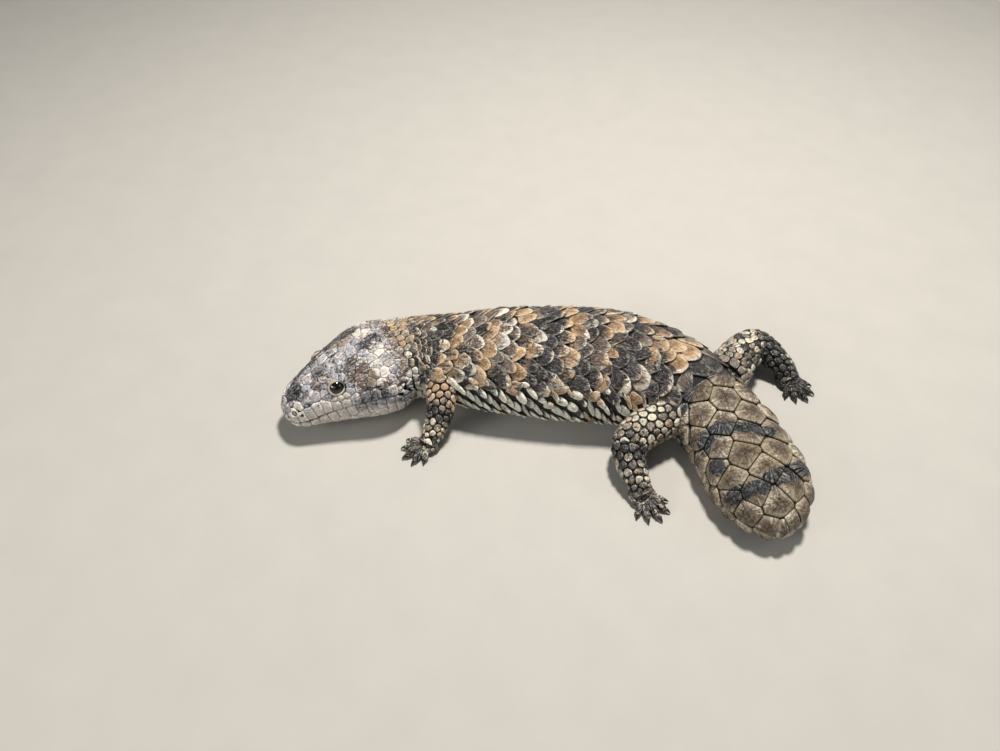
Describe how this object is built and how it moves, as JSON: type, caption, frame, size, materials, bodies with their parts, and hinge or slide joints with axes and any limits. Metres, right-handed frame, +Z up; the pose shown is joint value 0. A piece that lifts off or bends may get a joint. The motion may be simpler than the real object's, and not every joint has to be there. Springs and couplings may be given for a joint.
{
  "type": "shingleback (short-tailed blue-tongued skink), still life-size model",
  "caption": "Life-size still model of a shingleback, a short-tailed blue-tongued skink, lying on its belly with its head and stumpy tail turned to one side.",
  "frame": {"origin": "middle of the bounding box, at the floor the animal lies on", "axes": "+Z up, -X towards the head, +X towards the tail, -Y towards the side its head and tail are turned to"},
  "size_m": [0.2974, 0.1596, 0.0479],
  "materials": {
    "scales": "satin",
    "eye": "gloss",
    "claw": "satin"
  },
  "bodies": {
    "root": {"head": "scales", "neck": "scales", "torso": "scales", "tail": "scales", "eye_left": "eye", "eye_right": "eye", "front_left_leg": "scales", "front_left_foot": "scales", "front_right_leg": "scales", "front_right_foot": "scales", "hind_left_leg": "scales", "hind_left_foot": "scales", "hind_right_leg": "scales", "hind_right_foot": "scales"}
  },
  "joints": []
}
